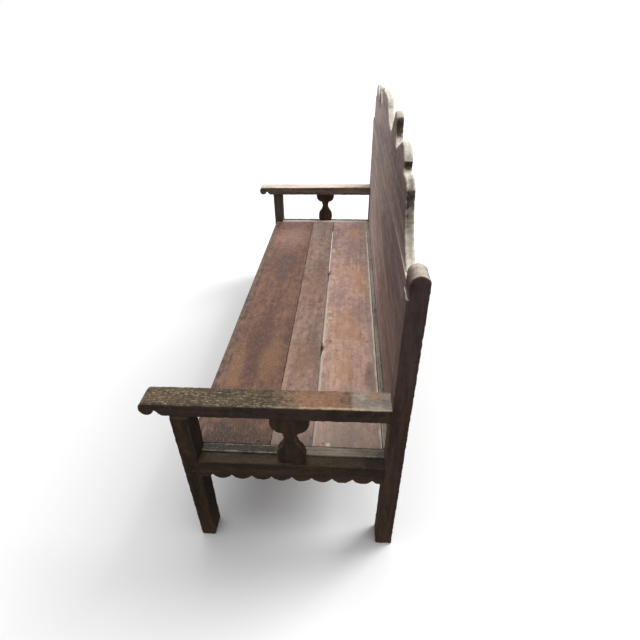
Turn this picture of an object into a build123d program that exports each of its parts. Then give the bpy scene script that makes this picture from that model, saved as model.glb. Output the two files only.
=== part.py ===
from build123d import *

import math
import os
from collections import namedtuple

# High back bench: a pegged frame with a plank seat, scrolled arms, flat splats and a shaped back.
# Millimetres, +Z up, +X along the bench, the sitter faces -Y. The origin is on the floor at the centre of the
# bench's box. Every piece is modelled in its place and written to its own STEP file.

# Overall sizes
bench_length = 2172.0  # over the outer faces of the legs
frame_depth = 711.0  # front of the front legs to back of the rear posts
seat_height = 430.0  # floor to the top of the seat planks
arm_height = 675.0  # floor to the top of the arms
post_height = 1117.0  # floor to the crown of the rear posts

# Legs and posts
post_width = 72.0  # along the bench, front legs and rear posts alike
leg_depth = 48.0
post_depth = 46.0
foot_chamfer = 6.0

# Arms
arm_width = 79.0
arm_thickness = 48.0
arm_overhang = 90.0  # nose in front of the front legs
arm_inset = 4.0  # arm's outer face inside the leg's outer face
arm_edge_radius = 4.0
nose_bulb_radius = 23.0
nose_roll = 25.0  # length of the top's roll down to the nose
nose_bulb_wrap = 20.0  # degrees below level where the bulb ends at its back
nose_hollow_rise = 24.0
nose_hollow_length = 22.0

# Rails and their scalloped lower edges
rail_thickness = 42.0
rail_low = 345.0  # floor to the lowest point of the scallops
front_rail_setback = 3.0
side_rail_setback = 2.0
side_rail_drop = 6.0  # side rail's top below the seat
rear_rail_height = 72.0
scallop_pitch = 66.5
scallop_depth = 18.0
scallop_end = 30.0  # least plain length kept at each end of a scalloped edge
front_edge_radius = 5.0

# Seat
plank_thickness = 28.0
front_plank_width = 229.0
middle_plank_width = 139.0
front_joint = 1.2  # open joints between the planks
back_joint = 5.0
seat_gap = 1.0  # between the planks and what borders them
cleat_width = 32.0
cleat_gap = 2.5
strip_width = 13.0
strip_rise = 5.0
strip_gap = 5.0  # open joint between the back plank and the strip
strip_edge_radius = 4.0
bearer_width = 46.0
bearer_height = 36.0
bearer_count = 2  # between the two end bearers
bearer_shift = 80.0  # the inner bearers lie this far to the right of an even spacing
bearer_housing = 12.0  # depth that a bearer is let into the rails
end_bearer_width = 57.0

# Back boards
board_thickness = 24.0
board_setback = 7.0  # boards' front behind the posts' front
groove_depth = 15.0
lower_board_top = 742.0
crest_base = 1076.0
board_joint = 0.6
tongue_width = 60.0
tongue_thickness = 8.0
tongue_reach = 32.0  # into each board
tongue_count = 5
tongue_end_margin = 190.0  # from the groove's mouth to the outermost tongue
centre_rise = 284.0  # middle of the crest above crest_base
crest_toe = 6.0  # height of the crest's thin ends
crest_toe_gap = 14.0  # between the crest's ends and the posts
crest_hollow = 11.0  # sag of the curve between the middle arch and the first scroll

# Splats under the arms
splat_thickness = 24.0
splat_base_half_width = 39.0
splat_belly_half_width = 47.0
splat_flank_half_width = 37.0
splat_waist_half_width = 24.0
splat_neck_half_width = 18.5
splat_throat_half_width = 21.5
splat_bead_half_width = 28.0
splat_lobe_half_width = 60.0
splat_collar_half_width = 54.0
# Half widths of the splat and the height of each, as a share of the space between the rail and the arm
SPLAT_OUTLINE = {
    "base": (splat_base_half_width, 0.0),
    "belly": (splat_belly_half_width, 0.15),
    "flank": (splat_flank_half_width, 0.35),
    "waist": (splat_waist_half_width, 0.45),
    "neck": (splat_neck_half_width, 0.535),
    "throat": (splat_throat_half_width, 0.60),
    "bead": (splat_bead_half_width, 0.675),
    "lobe": (splat_lobe_half_width, 0.87),
    "collar": (splat_collar_half_width, 1.0),
}
splat_shift = 3.5  # splat's middle behind the middle of its space
splat_tenon_width = 40.0
splat_tenon_length = 12.0

# Joints
tenon_thickness = 14.0
tenon_shoulder = 8.0  # above and below a rail's tenon
mortise_wall = 12.0  # wood left beyond a blind mortise
mortise_web = 6.0  # wood left between two mortises, or a mortise and a groove
arm_tenon_height = 24.0
fit_gap = 0.2  # clearance round tenons, tongues, pegs and nails
peg_diameter = 10.0
peg_spread = 17.0  # pegs above and below a rail's middle
peg_bite = 3.0  # depth that a peg enters the wood beyond the tenon
nail_head_diameter = 9.0
nail_head_height = 2.0
nail_diameter = 4.5
nail_grip = 24.0  # depth of a nail in its bearer
nail_margin = 34.0  # nail to the plank's long edge

# Places worked out from the sizes
outer_x = bench_length / 2
inner_x = outer_x - post_width
back_y = (frame_depth + arm_overhang) / 2
post_front_y = back_y - post_depth
leg_front_y = back_y - frame_depth
leg_back_y = leg_front_y + leg_depth
nose_y = leg_front_y - arm_overhang
arm_low = arm_height - arm_thickness
arm_outer_x = outer_x - arm_inset
arm_inner_x = arm_outer_x - arm_width
plank_low = seat_height - plank_thickness
side_outer_x = outer_x - side_rail_setback
side_inner_x = side_outer_x - rail_thickness
side_mid_x = (side_outer_x + side_inner_x) / 2
side_top = seat_height - side_rail_drop
side_tenon_x = side_mid_x - tenon_thickness / 2
board_front_y = post_front_y + board_setback
board_back_y = board_front_y + board_thickness
board_end_x = inner_x + groove_depth
strip_front_y = board_front_y - strip_width
cleat_inner_x = side_inner_x - cleat_width
plank_end_x = cleat_inner_x - cleat_gap
plank_front_y = leg_back_y + seat_gap
plank_back_y = strip_front_y - strip_gap
bearer_low = plank_low - bearer_height
long_tenon_x = side_tenon_x - mortise_web  # end of the front and rear rails' tenons
splat_mid_y = (leg_back_y + post_front_y) / 2 + splat_shift

Scroll = namedtuple("Scroll", "notch shoulder crown tip hollow")
# Each point is the distance inwards from the rear post's inner face and the height above crest_base.
SCROLLS = [
    Scroll((691, 209), (574, 282), (542, 294), (514, 270), (503, 240)),
    Scroll((429, 216), (342, 245), (288, 249), (237, 215), (243, 200)),
    Scroll((226, 188), (206, 190), (180, 188), (148, 166), (98, 64)),
]


def block(x, y, z):
    """Box between pairs of limits."""
    size = [high - low for low, high in (x, y, z)]
    middle = [(high + low) / 2 for low, high in (x, y, z)]
    return Pos(*middle) * Box(*size)


def grown(x, y, z, gap=fit_gap):
    """Box between pairs of limits, larger by a gap on every side."""
    return block(*[(low - gap, high + gap) for low, high in (x, y, z)])


def rod(start, direction, length, diameter):
    """Round bar from a point, along an axis."""
    return Solid.make_cylinder(diameter / 2, length, Plane(start, z_dir=direction))


def other_side(piece):
    """The same piece at the bench's left end."""
    return mirror(piece, about=Plane.YZ)


def half_spread(count, reach):
    """Evenly spread places from -reach to reach."""
    return [reach * (2 * i / (count - 1) - 1) for i in range(count)]


# Limits of the tenons, shared by the tenon and its mortise
def rail_tenon_z(low, top):
    return low + scallop_depth + tenon_shoulder, top - tenon_shoulder


SIDE_TENON_Z = rail_tenon_z(rail_low, side_top)
FRONT_TENON_Z = rail_tenon_z(rail_low, seat_height)
REAR_TENON_Z = (plank_low - rear_rail_height + tenon_shoulder, plank_low - tenon_shoulder)
SIDE_TENON_X = (side_tenon_x, side_tenon_x + tenon_thickness)
SIDE_TENON_FRONT_Y = (leg_front_y + mortise_wall, leg_back_y)
SIDE_TENON_BACK_Y = (post_front_y, back_y - mortise_wall)
LONG_TENON_X = (inner_x, long_tenon_x)


def centred(middle, size):
    return middle - size / 2, middle + size / 2


FRONT_RAIL_Y = (leg_front_y + front_rail_setback, leg_back_y)
FRONT_TENON_Y = centred(sum(FRONT_RAIL_Y) / 2, tenon_thickness)
REAR_RAIL_Y = (post_front_y, post_front_y + rail_thickness)
REAR_TENON_Y = centred(sum(REAR_RAIL_Y) / 2, tenon_thickness)
ARM_TENON_X = (inner_x + groove_depth + mortise_web, arm_outer_x - mortise_wall)
ARM_TENON_Y = (post_front_y, back_y - mortise_wall)
ARM_TENON_Z = centred(arm_height - arm_thickness / 2, arm_tenon_height)
LEG_TENON_X = (inner_x + mortise_wall, arm_outer_x - mortise_wall)
LEG_TENON_Y = (leg_front_y + mortise_wall, leg_back_y - mortise_wall)
LEG_TENON_Z = (arm_low, arm_height - mortise_wall)
SPLAT_X = centred(side_mid_x, splat_thickness)
SPLAT_TENON_X = centred(side_mid_x, splat_thickness / 2)
SPLAT_TENON_Y = centred(splat_mid_y, splat_tenon_width)
SPLAT_TENON_Z = (side_top - splat_tenon_length, arm_low + splat_tenon_length)


# Pegs: where each starts, the way it is driven and its length
def peg_heights(limits):
    middle = sum(limits) / 2
    return [middle - peg_spread, middle + peg_spread]


def side_rail_pegs():
    length = outer_x - SIDE_TENON_X[0] + peg_bite
    places = [sum(SIDE_TENON_FRONT_Y) / 2, sum(SIDE_TENON_BACK_Y) / 2]
    return [((outer_x, y, z), (-1, 0, 0), length) for y in places for z in peg_heights(SIDE_TENON_Z)]


def front_rail_pegs():
    length = FRONT_TENON_Y[1] - leg_front_y + peg_bite
    x = sum(LONG_TENON_X) / 2
    return [((x, leg_front_y, z), (0, 1, 0), length) for z in peg_heights(FRONT_TENON_Z)]


def rear_rail_pegs():
    length = back_y - REAR_TENON_Y[0] + peg_bite
    x = sum(LONG_TENON_X) / 2
    return [((x, back_y, z), (0, -1, 0), length) for z in peg_heights(REAR_TENON_Z)]


def arm_pegs():
    rear_length = outer_x - ARM_TENON_X[0] + peg_bite
    front_length = arm_outer_x - LEG_TENON_X[0] + peg_bite
    rear = (outer_x, sum(ARM_TENON_Y) / 2, sum(ARM_TENON_Z) / 2)
    front = (arm_outer_x, sum(LEG_TENON_Y) / 2, sum(LEG_TENON_Z) / 2)
    return [(rear, (-1, 0, 0), rear_length), (front, (-1, 0, 0), front_length)]


def peg_solids(pegs):
    return [rod(start, way, length, peg_diameter) for start, way, length in pegs]


def peg_holes(pegs):
    return [rod(start, way, length + fit_gap, peg_diameter + 2 * fit_gap) for start, way, length in pegs]


# Nails through the planks into the bearers
def bearer_middles():
    end = side_inner_x - end_bearer_width / 2
    return [end * (2 * (i + 1) / (bearer_count + 1) - 1) + bearer_shift for i in range(bearer_count)]


def nail_lines():
    end = (plank_end_x + side_inner_x - end_bearer_width) / 2
    return [-end, *bearer_middles(), end]


def plank_limits():
    front = (plank_front_y, plank_front_y + front_plank_width)
    middle = (front[1] + front_joint, front[1] + front_joint + middle_plank_width)
    return {"front": front, "middle": middle, "back": (middle[1] + back_joint, plank_back_y)}


def nail_places(limits):
    lines = [limits[0] + nail_margin, limits[1] - nail_margin]
    return [(x, y) for x in nail_lines() for y in lines]


def nail(x, y, gap=0.0):
    head = rod((x, y, seat_height), (0, 0, -1), nail_head_height + gap, nail_head_diameter + 2 * gap)
    shank = rod((x, y, seat_height), (0, 0, -1), plank_thickness + nail_grip + gap, nail_diameter + 2 * gap)
    return head + shank


def scalloped_edge(start, end):
    """Lower outline of a rail between two ends: whole scallops with plain lengths left over at both ends."""
    count = int((end - start - 2 * scallop_end) // scallop_pitch)
    first = (start + end - count * scallop_pitch) / 2
    cusp = rail_low + scallop_depth
    edges = [Line((start, rail_low), (first - scallop_depth, rail_low))]
    edges.append(RadiusArc((first - scallop_depth, rail_low), (first, cusp), -scallop_depth))
    for i in range(count):
        near = first + i * scallop_pitch
        far = near + scallop_pitch
        edges.append(ThreePointArc((near, cusp), ((near + far) / 2, rail_low), (far, cusp)))
    last = first + count * scallop_pitch
    edges.append(RadiusArc((last, cusp), (last + scallop_depth, rail_low), -scallop_depth))
    edges.append(Line((last + scallop_depth, rail_low), (end, rail_low)))
    return edges


def rail_face(start, end, top):
    edges = scalloped_edge(start, end)
    edges.append(Polyline((end, rail_low), (end, top), (start, top), (start, rail_low)))
    return make_face(edges)


def front_leg():
    leg = block((inner_x, outer_x), (leg_front_y, leg_back_y), (0, arm_low))
    leg = chamfer(leg.faces().sort_by(Axis.Z)[0].edges(), foot_chamfer)
    leg += block(LEG_TENON_X, LEG_TENON_Y, LEG_TENON_Z)
    leg -= grown(SIDE_TENON_X, SIDE_TENON_FRONT_Y, SIDE_TENON_Z)
    leg -= grown(LONG_TENON_X, FRONT_TENON_Y, FRONT_TENON_Z)
    return leg - peg_holes(side_rail_pegs()) - peg_holes(front_rail_pegs()) - peg_holes(arm_pegs())


def rear_post():
    spring = post_height - post_depth / 2
    front, back = (post_front_y, spring), (back_y, spring)
    crown = ((post_front_y + back_y) / 2, post_height)
    sides = Polyline(front, (post_front_y, 0), (back_y, 0), back)
    side = make_face([sides, ThreePointArc(back, crown, front)])
    post = extrude(Plane.YZ.offset(inner_x) * side, post_width)
    post = chamfer(post.faces().sort_by(Axis.Z)[0].edges(), foot_chamfer)
    post -= grown((inner_x, board_end_x), (board_front_y, board_back_y), (plank_low, crest_base))
    post -= grown(SIDE_TENON_X, SIDE_TENON_BACK_Y, SIDE_TENON_Z)
    post -= grown(LONG_TENON_X, REAR_TENON_Y, REAR_TENON_Z)
    post -= grown(ARM_TENON_X, ARM_TENON_Y, ARM_TENON_Z)
    return post - peg_holes(side_rail_pegs()) - peg_holes(rear_rail_pegs()) - peg_holes(arm_pegs())


def arm():
    """Flat arm whose front end rolls down to a bulb with a hollow behind it."""
    bulb = nose_bulb_radius
    wrap = math.radians(nose_bulb_wrap)
    bulb_back = (nose_y + bulb * (1 + math.cos(wrap)), arm_low + bulb * (1 - math.sin(wrap)))
    hollow_end = bulb_back[0] + nose_hollow_length
    hollow_top = ((bulb_back[0] + hollow_end) / 2, arm_low + nose_hollow_rise)
    eighth = 1 - math.sqrt(0.5)
    roll_middle = (nose_y + nose_roll * eighth, arm_height - (arm_thickness - bulb) * eighth)
    profile = make_face(
        [
            Line((post_front_y, arm_low), (post_front_y, arm_height)),
            Line((post_front_y, arm_height), (nose_y + nose_roll, arm_height)),
            ThreePointArc((nose_y + nose_roll, arm_height), roll_middle, (nose_y, arm_low + bulb)),
            ThreePointArc((nose_y, arm_low + bulb), (nose_y + bulb, arm_low), bulb_back),
            ThreePointArc(bulb_back, hollow_top, (hollow_end, arm_low)),
            Line((hollow_end, arm_low), (post_front_y, arm_low)),
        ]
    )
    piece = extrude(Plane.YZ.offset(arm_inner_x) * profile, arm_width)
    long_edges = piece.edges().filter_by(Axis.Y).group_by(Axis.Z)[-1]
    piece = fillet(long_edges, arm_edge_radius)
    piece += block(ARM_TENON_X, ARM_TENON_Y, ARM_TENON_Z)
    piece -= grown(LEG_TENON_X, LEG_TENON_Y, LEG_TENON_Z)
    piece -= grown(SPLAT_TENON_X, SPLAT_TENON_Y, SPLAT_TENON_Z)
    return piece - peg_holes(arm_pegs())


def splat():
    """Flat baluster: pear-shaped belly, narrow neck, bead and a rounded lobe under the arm."""
    tall = arm_low - side_top
    point = {name: (half_width, tall * share) for name, (half_width, share) in SPLAT_OUTLINE.items()}
    names = list(point)
    half = [ThreePointArc(*[point[name] for name in names[i : i + 3]]) for i in range(0, len(names) - 1, 2)]
    other = [mirror(edge, about=Plane.YZ) for edge in half]
    ends = [Line((-point[name][0], point[name][1]), point[name]) for name in ("base", "collar")]
    outline = make_face([*half, *other, *ends])
    place = Plane((SPLAT_X[0], splat_mid_y, side_top), x_dir=(0, 1, 0), z_dir=(1, 0, 0))
    return extrude(place * outline, splat_thickness) + block(SPLAT_TENON_X, SPLAT_TENON_Y, SPLAT_TENON_Z)


def side_rail():
    outline = rail_face(leg_back_y, post_front_y, side_top)
    rail = extrude(Plane.YZ.offset(side_inner_x) * outline, rail_thickness)
    rail += block(SIDE_TENON_X, (SIDE_TENON_FRONT_Y[0], SIDE_TENON_BACK_Y[1]), SIDE_TENON_Z)
    rail -= grown(SPLAT_TENON_X, SPLAT_TENON_Y, SPLAT_TENON_Z)
    return rail - peg_holes(side_rail_pegs())


def bearer_ends(x):
    """Limits across the bench and in height of one inner bearer."""
    return centred(x, bearer_width), (bearer_low, plank_low)


def front_rail():
    outline = rail_face(-inner_x, inner_x, seat_height)
    plane = Plane((0, FRONT_RAIL_Y[0], 0), x_dir=(1, 0, 0), z_dir=(0, -1, 0))
    rail = extrude(plane * outline, -(FRONT_RAIL_Y[1] - FRONT_RAIL_Y[0]))
    edge = rail.edges().filter_by(Axis.X).group_by(Axis.Z)[-1].sort_by(Axis.Y)[0]
    rail = fillet(edge, front_edge_radius)
    rail += block((-long_tenon_x, long_tenon_x), FRONT_TENON_Y, FRONT_TENON_Z)
    for x in bearer_middles():
        across, height = bearer_ends(x)
        rail -= grown(across, (leg_back_y - bearer_housing, leg_back_y), height)
    holes = peg_holes(front_rail_pegs())
    return rail - holes - [other_side(hole) for hole in holes]


def rear_rail():
    rail = block((-inner_x, inner_x), REAR_RAIL_Y, (plank_low - rear_rail_height, plank_low))
    rail += block((-long_tenon_x, long_tenon_x), REAR_TENON_Y, REAR_TENON_Z)
    for x in bearer_middles():
        across, height = bearer_ends(x)
        rail -= grown(across, (post_front_y, post_front_y + bearer_housing), height)
    holes = peg_holes(rear_rail_pegs())
    return rail - holes - [other_side(hole) for hole in holes]


def nail_holes():
    return [nail(x, y, fit_gap) for limits in plank_limits().values() for x, y in nail_places(limits)]


def cross_bearer(x):
    across, height = bearer_ends(x)
    bearer = block(across, (leg_back_y - bearer_housing, post_front_y + bearer_housing), height)
    return bearer - nail_holes()


def end_bearer():
    across = (side_inner_x - end_bearer_width, side_inner_x)
    bearer = block(across, (leg_back_y, post_front_y), (bearer_low, plank_low))
    return bearer - nail_holes()


def plank(limits):
    board = block((-plank_end_x, plank_end_x), limits, (plank_low, seat_height))
    return board - [nail(x, y, fit_gap) for x, y in nail_places(limits)]


def end_cleat():
    return block((cleat_inner_x, side_inner_x), (leg_back_y, post_front_y), (plank_low, seat_height))


def back_strip():
    """Fillet that closes the seat against the back, with its top front edge rounded."""
    height = (plank_low, seat_height + strip_rise)
    strip = block((-plank_end_x, plank_end_x), (strip_front_y, board_front_y), height)
    edge = strip.edges().filter_by(Axis.X).group_by(Axis.Z)[-1].sort_by(Axis.Y)[0]
    return fillet(edge, strip_edge_radius)


def tongue_places():
    return half_spread(tongue_count, inner_x - tongue_end_margin)


def tongue(x, joint):
    middle_y = (board_front_y + board_back_y) / 2
    return (
        centred(x, tongue_width),
        centred(middle_y, tongue_thickness),
        (joint - tongue_reach, joint + tongue_reach),
    )


def tongue_slots(joint):
    return [grown(*tongue(x, joint)) for x in tongue_places()]


def lower_back_board():
    board = block((-board_end_x, board_end_x), (board_front_y, board_back_y), (plank_low, lower_board_top))
    return board - tongue_slots(lower_board_top)


def upper_back_board():
    low = lower_board_top + board_joint
    board = block((-board_end_x, board_end_x), (board_front_y, board_back_y), (low, crest_base))
    return board - tongue_slots(lower_board_top) - tongue_slots(crest_base)


def crest_point(point):
    return inner_x - point[0], crest_base + point[1]


def crest_half():
    """Right half of the crest's top: end of the arch, three scrolls stepping down, sweep to the post."""
    notch = crest_point(SCROLLS[0].notch)
    arch_end = (notch[0] / 2, crest_base + (centre_rise + SCROLLS[0].notch[1]) / 2)
    sag = (arch_end[0] + notch[0]) / 2, (arch_end[1] + notch[1]) / 2 - crest_hollow
    edges = [ThreePointArc(arch_end, sag, notch)]
    toe = (inner_x - crest_toe_gap, crest_base + crest_toe)
    ends = [crest_point(scroll.notch) for scroll in SCROLLS[1:]] + [toe]
    for scroll, end in zip(SCROLLS, ends):
        start, shoulder, crown, tip, hollow = [crest_point(point) for point in scroll]
        edges.append(Line(start, shoulder))
        edges.append(ThreePointArc(shoulder, crown, tip))
        edges.append(ThreePointArc(tip, hollow, end))
    edges.append(Line(toe, (toe[0], crest_base + board_joint)))
    return arch_end, toe[0], edges


def crest_board():
    arch_end, toe_x, half = crest_half()
    arch = ThreePointArc((-arch_end[0], arch_end[1]), (0, crest_base + centre_rise), arch_end)
    low = crest_base + board_joint
    base = Line((-toe_x, low), (toe_x, low))
    outline = make_face([arch, base, *half, *[mirror(edge, about=Plane.YZ) for edge in half]])
    plane = Plane((0, board_front_y, 0), x_dir=(1, 0, 0), z_dir=(0, -1, 0))
    board = extrude(plane * outline, -board_thickness)
    return board - tongue_slots(crest_base)


def tongues():
    return [block(*tongue(x, joint)) for joint in (lower_board_top, crest_base) for x in tongue_places()]


def both_sides(solids):
    return [*solids, *[other_side(solid) for solid in solids]]


def all_pieces():
    pieces = {
        "front_rail": front_rail(),
        "rear_rail": rear_rail(),
        "back_strip": back_strip(),
        "lower_back_board": lower_back_board(),
        "upper_back_board": upper_back_board(),
        "crest_board": crest_board(),
        "back_board_tongues": Compound(tongues()),
        "side_rail_pegs": Compound(both_sides(peg_solids(side_rail_pegs()))),
        "front_rail_pegs": Compound(both_sides(peg_solids(front_rail_pegs()))),
        "rear_rail_pegs": Compound(both_sides(peg_solids(rear_rail_pegs()))),
        "arm_pegs": Compound(both_sides(peg_solids(arm_pegs()))),
    }
    paired = {
        "front_leg": front_leg,
        "rear_post": rear_post,
        "arm": arm,
        "splat": splat,
        "side_rail": side_rail,
        "end_bearer": end_bearer,
        "seat_end_cleat": end_cleat,
    }
    for name, make in paired.items():
        pieces[f"{name}_right"] = make()
        pieces[f"{name}_left"] = other_side(pieces[f"{name}_right"])
    for name, limits in plank_limits().items():
        pieces[f"{name}_seat_plank"] = plank(limits)
        pieces[f"{name}_plank_nails"] = Compound([nail(x, y) for x, y in nail_places(limits)])
    for i, x in enumerate(bearer_middles()):
        pieces[f"cross_bearer_{i + 1}"] = cross_bearer(x)
    return pieces


def main():
    os.makedirs("parts", exist_ok=True)
    for name, piece in all_pieces().items():
        export_step(piece, f"parts/{name}.step")


main()
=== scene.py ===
"""Old high back bench: worn seat planks, pegged frame, scalloped rails and a scrolled crest."""

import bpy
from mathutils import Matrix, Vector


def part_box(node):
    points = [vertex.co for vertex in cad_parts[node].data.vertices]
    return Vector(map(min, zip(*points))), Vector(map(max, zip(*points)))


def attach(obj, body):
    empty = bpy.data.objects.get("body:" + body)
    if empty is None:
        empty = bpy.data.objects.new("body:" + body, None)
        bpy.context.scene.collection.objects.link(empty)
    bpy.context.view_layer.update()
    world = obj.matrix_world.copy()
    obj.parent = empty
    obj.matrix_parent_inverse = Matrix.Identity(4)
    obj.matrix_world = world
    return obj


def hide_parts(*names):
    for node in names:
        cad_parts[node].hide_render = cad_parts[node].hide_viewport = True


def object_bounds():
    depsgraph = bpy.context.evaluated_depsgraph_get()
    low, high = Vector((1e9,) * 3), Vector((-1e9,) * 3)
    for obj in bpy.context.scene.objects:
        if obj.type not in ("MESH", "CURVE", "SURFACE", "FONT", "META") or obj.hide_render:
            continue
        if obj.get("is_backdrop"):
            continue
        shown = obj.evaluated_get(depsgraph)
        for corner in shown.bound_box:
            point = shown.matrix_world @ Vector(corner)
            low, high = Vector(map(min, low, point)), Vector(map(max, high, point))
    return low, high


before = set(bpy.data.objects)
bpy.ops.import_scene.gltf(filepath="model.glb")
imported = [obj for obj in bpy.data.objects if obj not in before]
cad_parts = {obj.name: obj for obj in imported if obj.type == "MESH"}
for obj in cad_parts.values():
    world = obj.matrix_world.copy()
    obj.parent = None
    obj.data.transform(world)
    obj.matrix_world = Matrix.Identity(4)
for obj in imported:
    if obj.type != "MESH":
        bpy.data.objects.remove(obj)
cad_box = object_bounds()

import inspect
import math
from types import SimpleNamespace

import bmesh
import bpy
from mathutils import Matrix, Vector, kdtree

# Places taken from the frame, in metres
post_low, post_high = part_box("rear_post_right")
arm_box_low, arm_box_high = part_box("arm_right")
side_rail_low, side_rail_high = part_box("side_rail_right")
splat_low, splat_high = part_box("splat_right")
outer_x = post_high.x
inner_x = post_low.x
leg_back_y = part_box("front_leg_right")[1].y
post_front_y = post_low.y
nose_y = arm_box_low.y
arm_low_z = arm_box_low.z
arm_top_z = arm_box_high.z
side_top_z = side_rail_high.z
rail_low_z = side_rail_low.z
splat_middle_y = (splat_low.y + splat_high.y) / 2
seat_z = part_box("front_seat_plank")[1].z
crest_base_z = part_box("upper_back_board")[1].z
crest_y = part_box("crest_board")[0].y
joint_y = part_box("back_seat_plank")[0].y
front_joint_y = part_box("front_seat_plank")[1].y
strip_front_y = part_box("back_strip")[0].y
strip_back_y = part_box("back_strip")[1].y
cleat_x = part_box("seat_end_cleat_right")[0].x

# Shapes of the bench, in metres
JOINT_BURY = 0.004
# Reach within which a corner counts as lying on a face
TOUCH = 0.001
FOOT_ROUND = 0.007
LEG_TOP_TAPER = 0.006
POST_RAKE = 0.010
POST_RAKE_FOOT_Z = 0.25
POST_PROUD = 0.004
POST_LEDGE_Z = 1.053
POST_FOOT_SWELL = 0.004
BACK_LEAN = -0.0063
CREST_TWIST = 0.0047
CREST_TWIST_FROM_X = 0.55
NOSE_ROLL = 0.025
NOSE_BULB = 0.023
NOSE_WRAP = math.radians(20)
NOSE_HOLLOW_RISE = 0.024
NOSE_HOLLOW_LENGTH = 0.023
NOSE_REACH = 0.003
ARM_RISE = 0.006
SCALLOP_PITCH = 0.0665
SCALLOP_DEPTH = 0.018
SCALLOP_END = 0.030
FRONT_EDGE_ROUND = 0.005
FRONT_RAIL_SKEW = 0.007
SCALLOP_DROP = 0.003
LEG_PROUD = 0.0015
# How much deeper than drawn the front legs are, at the foot and at the arm
LEG_SWELL = (0.002, 0.010)
# Half widths of the splats up to the bead and on its lobe, with height as a share of the space below the arm
SPLAT_LOWER = [
    (0.039, 0.0), (0.047, 0.15), (0.037, 0.35), (0.024, 0.45),
    (0.0185, 0.535), (0.0205, 0.60), (0.0245, 0.672),
]
SPLAT_LOBE = [(0.0280, 0.682), (0.060, 0.84), (0.054, 1.0)]
CREST_RISE = 0.286
# How far left of the middle the arch stands
ARCH_SHIFT = 0.065
# End, turn and foot of the arch's shoulder: distance from its middle, height above the crest's foot
ARCH_SHOULDER = [(0.12, 0.281), (0.16, 0.268), (0.177, 0.250)]
CREST_HOLLOW = 0.013
CREST_TOE = 0.006
CREST_TOE_GAP = 0.014
CREST_LAP = 0.002
# Notch, shoulder, crown, tip and hollow of each scroll: distance from the post, height above the foot
SCROLLS = [
    [(0.691, 0.209), (0.574, 0.282), (0.542, 0.294), (0.514, 0.270), (0.506, 0.228)],
    [(0.429, 0.216), (0.342, 0.245), (0.288, 0.249), (0.237, 0.215), (0.243, 0.200)],
    [(0.226, 0.188), (0.206, 0.190), (0.180, 0.188), (0.148, 0.166), (0.098, 0.064)],
]
LEFT_SCROLL_WEAR = 0.030

# Wear
EDGE_REACH = 0.014
EDGE_ANGLE = math.radians(35)
EDGE_SAMPLE = 0.004
WEIGHT_STEPS = 12
CLOUD_STRETCH = 9
GRAIN_RIDGE = 0.0005


def mode(name):
    bpy.ops.object.mode_set(mode=name)


def deselect_all():
    if bpy.context.object and bpy.context.object.mode != "OBJECT":
        mode("OBJECT")
    bpy.ops.object.select_all(action="DESELECT")


def make_active(piece):
    deselect_all()
    piece.select_set(True)
    bpy.context.view_layer.objects.active = piece


def added(name, scale=(1, 1, 1)):
    """The primitive just added, named, with its place and scale written into its mesh."""
    piece = bpy.context.object
    piece.name = name
    piece.data.name = name
    piece.scale = scale
    bpy.ops.object.transform_apply(location=True, rotation=True, scale=True)
    return piece


def block(name, low, high):
    """Cube primitive stretched between two corners."""
    deselect_all()
    bpy.ops.mesh.primitive_cube_add(size=1, location=(Vector(low) + Vector(high)) / 2)
    return added(name, Vector(high) - Vector(low))


def drawn_board(name, corners, push):
    """Board drawn corner by corner as a wire, closed, filled and pushed to its thickness."""
    deselect_all()
    bpy.ops.mesh.primitive_plane_add(size=0.001, location=corners[0])
    piece = added(name)
    mode("EDIT")
    bpy.ops.mesh.select_mode(type="VERT")
    bpy.ops.mesh.select_all(action="SELECT")
    bpy.ops.mesh.merge(type="CENTER")
    for here, there in zip(corners, corners[1:] + corners[:1]):
        bpy.ops.mesh.extrude_vertices_move(TRANSFORM_OT_translate={"value": there - here})
    bpy.ops.mesh.select_all(action="SELECT")
    bpy.ops.mesh.remove_doubles(threshold=0.00005)
    bpy.ops.mesh.edge_face_add()
    bpy.ops.mesh.extrude_region_move(TRANSFORM_OT_translate={"value": push})
    bpy.ops.mesh.select_all(action="SELECT")
    bpy.ops.mesh.normals_make_consistent(inside=False)
    mode("OBJECT")
    return piece


def select_edges(piece, chosen):
    """Leaves the piece in edit mode with the edges selected whose two ends pass a test."""
    make_active(piece)
    mode("EDIT")
    bpy.ops.mesh.select_mode(type="EDGE")
    bpy.ops.mesh.select_all(action="DESELECT")
    mode("OBJECT")
    corners = piece.data.vertices
    for edge in piece.data.edges:
        edge.select = chosen(*[corners[i].co for i in edge.vertices])
    mode("EDIT")


def round_edges(piece, chosen, width, segments=4):
    """Bevels the edges whose two ends both pass a test."""
    select_edges(piece, lambda start, end: chosen(start) and chosen(end))
    bpy.ops.mesh.bevel(offset=width, segments=segments, affect="EDGES")
    mode("OBJECT")


def cut_into_cells(piece, cell):
    """Divides the long edges of a block so that its faces become a grid of about one cell size."""
    size = piece.dimensions.copy()
    for axis in range(3):
        along = Vector([float(axis == i) for i in range(3)])
        cuts = int(size[axis] / cell[axis])
        if cuts > 0:
            select_edges(piece, lambda start, end: abs((end - start).dot(along)) > 0.6 * size[axis])
            bpy.ops.mesh.subdivide(number_cuts=cuts)
            mode("OBJECT")


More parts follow.
